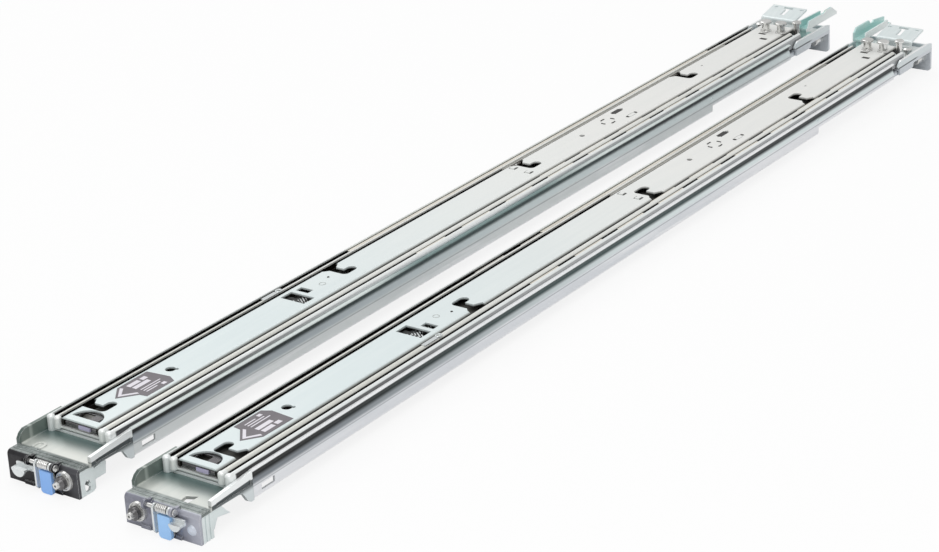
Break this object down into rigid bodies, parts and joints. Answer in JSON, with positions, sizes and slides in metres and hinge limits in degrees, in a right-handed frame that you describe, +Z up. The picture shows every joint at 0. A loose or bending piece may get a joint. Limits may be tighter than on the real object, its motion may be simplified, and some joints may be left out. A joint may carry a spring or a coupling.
{
  "type": "sliding server rail pair",
  "caption": "Pair of closed telescopic ball-bearing slide rails for a one-unit rack server, with hook slots, latches and rack brackets.",
  "frame": {"origin": "middle of the pair's box, on the surface that the rails lie on", "axes": "+Y to the rear of the rack, +Z up from the cabinet side to the server panels, +X to the right rail"},
  "size_m": [0.1174, 0.7268, 0.0291],
  "materials": {
    "zinc_steel": "zinc-plated rolled sheet, satin",
    "panel_steel": "zinc-plated sheet, pale and matt",
    "pin_steel": "bright plated, turned",
    "spring_steel": "bright stamped sheet and wire",
    "cage_steel": "plated strip, darker",
    "ball_steel": "polished",
    "blue_plastic": "moulded, light blue",
    "grey_plastic": "moulded, pale violet-grey",
    "label_film": "printed film, grey"
  },
  "bodies": {
    "root": {"left_front_bracket": "zinc_steel", "left_side_guard": "zinc_steel", "left_front_mount_pin": "pin_steel", "left_latch_pivot_pin": "pin_steel", "left_latch_spring": "spring_steel", "left_outer_channel": "zinc_steel", "left_outer_member": "zinc_steel", "left_rivets": "pin_steel", "left_stop_stud": "pin_steel", "left_t_slot_plate": "zinc_steel", "left_cable_arm_channel": "zinc_steel", "left_rear_screw": "pin_steel", "right_front_bracket": "zinc_steel", "right_side_guard": "zinc_steel", "right_front_mount_pin": "pin_steel", "right_latch_pivot_pin": "pin_steel", "right_latch_spring": "spring_steel", "right_outer_channel": "zinc_steel", "right_outer_member": "zinc_steel", "right_rivets": "pin_steel", "right_stop_stud": "pin_steel", "right_t_slot_plate": "zinc_steel", "right_cable_arm_channel": "zinc_steel", "right_rear_screw": "pin_steel"},
    "left_front_latch": {"left_front_latch": "spring_steel", "left_release_tab": "blue_plastic"},
    "left_outer_cage": {"left_outer_cage": "cage_steel", "left_outer_balls": "ball_steel"},
    "left_middle": {"left_middle_member": "zinc_steel"},
    "left_inner_cage": {"left_inner_cage": "cage_steel", "left_inner_balls": "ball_steel"},
    "left_inner": {"left_inner_member": "panel_steel", "left_server_studs": "pin_steel", "left_front_stop": "spring_steel", "left_lever_pad": "grey_plastic", "left_label": "label_film"},
    "left_slide_lock": {"left_slide_lock": "spring_steel"},
    "left_rear_bracket": {"left_rear_bracket": "zinc_steel", "left_rear_mount_pins": "pin_steel", "left_rear_latch_pin": "pin_steel", "left_rear_latch_spring": "spring_steel"},
    "left_rear_latch": {"left_rear_latch": "spring_steel"},
    "right_front_latch": {"right_front_latch": "spring_steel", "right_release_tab": "blue_plastic"},
    "right_outer_cage": {"right_outer_cage": "cage_steel", "right_outer_balls": "ball_steel"},
    "right_middle": {"right_middle_member": "zinc_steel"},
    "right_inner_cage": {"right_inner_cage": "cage_steel", "right_inner_balls": "ball_steel"},
    "right_inner": {"right_inner_member": "panel_steel", "right_server_studs": "pin_steel", "right_front_stop": "spring_steel", "right_lever_pad": "grey_plastic", "right_label": "label_film"},
    "right_slide_lock": {"right_slide_lock": "spring_steel"},
    "right_rear_bracket": {"right_rear_bracket": "zinc_steel", "right_rear_mount_pins": "pin_steel", "right_rear_latch_pin": "pin_steel", "right_rear_latch_spring": "spring_steel"},
    "right_rear_latch": {"right_rear_latch": "spring_steel"}
  },
  "joints": [
    {"name": "left_middle_slide", "type": "slide", "parent": "root", "child": "left_middle", "axis": [0, -1, 0], "range_m": [0, 0.34]},
    {"name": "left_outer_cage_slide", "type": "slide", "parent": "root", "child": "left_outer_cage", "axis": [0, -1, 0], "range_m": [0, 0.17]},
    {"name": "left_inner_slide", "type": "slide", "parent": "left_middle", "child": "left_inner", "axis": [0, -1, 0], "range_m": [0, 0.36]},
    {"name": "left_inner_cage_slide", "type": "slide", "parent": "left_middle", "child": "left_inner_cage", "axis": [0, -1, 0], "range_m": [0, 0.18]},
    {"name": "left_rear_extension", "type": "slide", "parent": "root", "child": "left_rear_bracket", "axis": [0, 1, 0], "range_m": [0, 0.22]},
    {"name": "left_front_latch_hinge", "type": "hinge", "parent": "root", "child": "left_front_latch", "pos_m": [-0.03687, -0.35495, 0.014], "axis": [-1, 0, 0], "range_deg": [0, 25], "stiffness_Nm_per_rad": 0.005},
    {"name": "left_rear_latch_hinge", "type": "hinge", "parent": "left_rear_bracket", "child": "left_rear_latch", "pos_m": [-0.03687, 0.34095, 0.0061], "axis": [1, 0, 0], "range_deg": [0, 12], "stiffness_Nm_per_rad": 0.005},
    {"name": "left_slide_lock_hinge", "type": "hinge", "parent": "left_inner", "child": "left_slide_lock", "pos_m": [-0.03687, -0.15155, 0.02045], "axis": [1, 0, 0], "range_deg": [0, 5], "stiffness_Nm_per_rad": 0.005},
    {"name": "right_middle_slide", "type": "slide", "parent": "root", "child": "right_middle", "axis": [0, -1, 0], "range_m": [0, 0.34]},
    {"name": "right_outer_cage_slide", "type": "slide", "parent": "root", "child": "right_outer_cage", "axis": [0, -1, 0], "range_m": [0, 0.17]},
    {"name": "right_inner_slide", "type": "slide", "parent": "right_middle", "child": "right_inner", "axis": [0, -1, 0], "range_m": [0, 0.36]},
    {"name": "right_inner_cage_slide", "type": "slide", "parent": "right_middle", "child": "right_inner_cage", "axis": [0, -1, 0], "range_m": [0, 0.18]},
    {"name": "right_rear_extension", "type": "slide", "parent": "root", "child": "right_rear_bracket", "axis": [0, 1, 0], "range_m": [0, 0.22]},
    {"name": "right_front_latch_hinge", "type": "hinge", "parent": "root", "child": "right_front_latch", "pos_m": [0.03687, -0.35945, 0.014], "axis": [-1, 0, 0], "range_deg": [0, 25], "stiffness_Nm_per_rad": 0.005},
    {"name": "right_rear_latch_hinge", "type": "hinge", "parent": "right_rear_bracket", "child": "right_rear_latch", "pos_m": [0.03687, 0.33645, 0.0061], "axis": [1, 0, 0], "range_deg": [0, 12], "stiffness_Nm_per_rad": 0.005},
    {"name": "right_slide_lock_hinge", "type": "hinge", "parent": "right_inner", "child": "right_slide_lock", "pos_m": [0.03687, -0.15605, 0.02045], "axis": [1, 0, 0], "range_deg": [0, 5], "stiffness_Nm_per_rad": 0.005}
  ],
  "couplings": [
    {"joint": "left_outer_cage_slide", "follows": "left_middle_slide", "ratio": 0.5},
    {"joint": "left_inner_cage_slide", "follows": "left_inner_slide", "ratio": 0.5},
    {"joint": "right_outer_cage_slide", "follows": "right_middle_slide", "ratio": 0.5},
    {"joint": "right_inner_cage_slide", "follows": "right_inner_slide", "ratio": 0.5}
  ]
}
